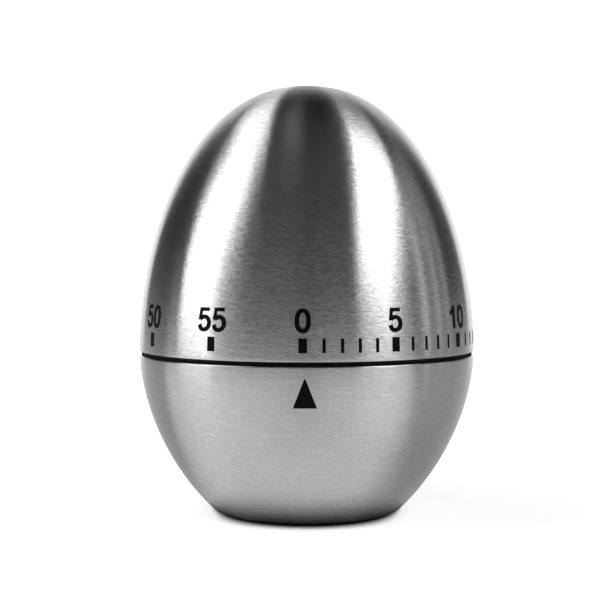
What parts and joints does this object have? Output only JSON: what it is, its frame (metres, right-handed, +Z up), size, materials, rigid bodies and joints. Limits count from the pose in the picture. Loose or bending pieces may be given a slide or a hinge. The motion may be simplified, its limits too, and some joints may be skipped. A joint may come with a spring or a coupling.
{
  "type": "kitchen timer",
  "caption": "Egg-shaped mechanical 60-minute kitchen timer: brushed steel dome turns on a steel bowl and winds a spring clockwork movement with a bell.",
  "frame": {"origin": "middle of the foot, on the surface that the timer stands on", "axes": "+Z up along the dial's axis; -Y towards the user, where the pointer on the bowl is; +X to the user's right"},
  "size_m": [0.06, 0.06, 0.0761],
  "materials": {
    "brushed_shell": "brushed round the axis, with a fine satin line",
    "plate_steel": "plain rolled sheet",
    "hard_steel": "turned, hardened",
    "spring_steel": "blued strip",
    "bell_steel": "bright nickel plate",
    "brass": "stamped, satin",
    "black_plastic": "moulded, fine matt grain",
    "white_acetal": "moulded, slightly translucent white"
  },
  "bodies": {
    "base": {"base_shell": "brushed_shell", "base_housing": "black_plastic", "bottom_cover": "black_plastic", "cover_screw_1": "hard_steel", "cover_screw_2": "hard_steel", "cover_screw_3": "hard_steel", "movement_screw_1": "hard_steel", "movement_screw_2": "hard_steel", "movement_screw_3": "hard_steel", "lower_plate": "plate_steel", "upper_plate": "plate_steel", "pillar_1": "hard_steel", "pillar_2": "hard_steel", "pillar_3": "hard_steel", "pillar_4": "hard_steel", "upper_bush": "brass", "stop_pin": "hard_steel", "detent_stud": "hard_steel", "detent_spring": "spring_steel", "bell": "bell_steel", "bell_post": "hard_steel", "bell_screw": "hard_steel"},
    "dial": {"dome_shell": "brushed_shell", "dial_carrier": "black_plastic", "dial_arbor": "hard_steel", "arbor_clip": "spring_steel", "ratchet_wheel": "hard_steel", "strike_cam": "brass"},
    "main_wheel": {"main_wheel": "brass", "click_stud": "hard_steel", "click_spring": "spring_steel"},
    "click": {"click": "hard_steel"},
    "second_wheel": {"second_wheel": "white_acetal", "second_arbor": "hard_steel"},
    "third_wheel": {"third_wheel": "white_acetal", "third_arbor": "hard_steel"},
    "escape_wheel": {"escape_wheel": "white_acetal", "escape_arbor": "hard_steel"},
    "balance": {"balance": "brass", "pallet_pin_1": "hard_steel", "pallet_pin_2": "hard_steel", "balance_staff": "hard_steel"},
    "strike_barrel": {"strike_barrel": "brass", "mainspring": "spring_steel"},
    "strike_wheel": {"strike_wheel": "white_acetal", "strike_arbor": "hard_steel"},
    "hammer": {"hammer_anchor": "hard_steel", "hammer_arm": "plate_steel", "hammer_head": "brass", "hammer_arbor": "hard_steel"},
    "detent": {"detent_lever": "plate_steel"}
  },
  "joints": [
    {"name": "dial_turn", "type": "hinge", "parent": "base", "child": "dial", "pos_m": [0, 0, 0.0286], "axis": [0, 0, -1], "range_deg": [0, 348]},
    {"name": "main_wheel_turn", "type": "hinge", "parent": "base", "child": "main_wheel", "pos_m": [0, 0, 0.019], "axis": [0, 0, -1], "range_deg": [0, 348]},
    {"name": "click_lift", "type": "hinge", "parent": "main_wheel", "child": "click", "pos_m": [0.00403, 0.00621, 0.019], "axis": [0, 0, 1], "range_deg": [0, 12], "stiffness_Nm_per_rad": 0.0005},
    {"name": "second_wheel_turn", "type": "hinge", "parent": "base", "child": "second_wheel", "pos_m": [-0.01116, -0.00406, 0.019], "axis": [0, 0, -1], "continuous": true},
    {"name": "third_wheel_turn", "type": "hinge", "parent": "base", "child": "third_wheel", "pos_m": [-0.00453, -0.01101, 0.019], "axis": [0, 0, -1], "continuous": true},
    {"name": "escape_wheel_turn", "type": "hinge", "parent": "base", "child": "escape_wheel", "pos_m": [0.00284, -0.01269, 0.019], "axis": [0, 0, -1], "continuous": true},
    {"name": "balance_swing", "type": "hinge", "parent": "base", "child": "balance", "pos_m": [0.00909, -0.0113, 0.019], "axis": [0, 0, -1], "range_deg": [-10, 10]},
    {"name": "strike_barrel_turn", "type": "hinge", "parent": "base", "child": "strike_barrel", "pos_m": [0, 0, 0.019], "axis": [0, 0, -1], "range_deg": [0, 330]},
    {"name": "strike_wheel_turn", "type": "hinge", "parent": "base", "child": "strike_wheel", "pos_m": [0, 0.01188, 0.019], "axis": [0, 0, -1], "continuous": true},
    {"name": "hammer_swing", "type": "hinge", "parent": "base", "child": "hammer", "pos_m": [-0.00482, 0.01578, 0.019], "axis": [0, 0, -1], "range_deg": [-4, 4]},
    {"name": "detent_drop", "type": "hinge", "parent": "base", "child": "detent", "pos_m": [0.00707, 0.00843, 0.019], "axis": [0, 0, -1], "range_deg": [-6, 0]}
  ],
  "couplings": [
    {"joint": "main_wheel_turn", "follows": "dial_turn", "ratio": 1},
    {"joint": "second_wheel_turn", "follows": "dial_turn", "ratio": -8},
    {"joint": "third_wheel_turn", "follows": "dial_turn", "ratio": 56},
    {"joint": "escape_wheel_turn", "follows": "dial_turn", "ratio": -336},
    {"joint": "strike_wheel_turn", "follows": "strike_barrel_turn", "ratio": -8}
  ]
}
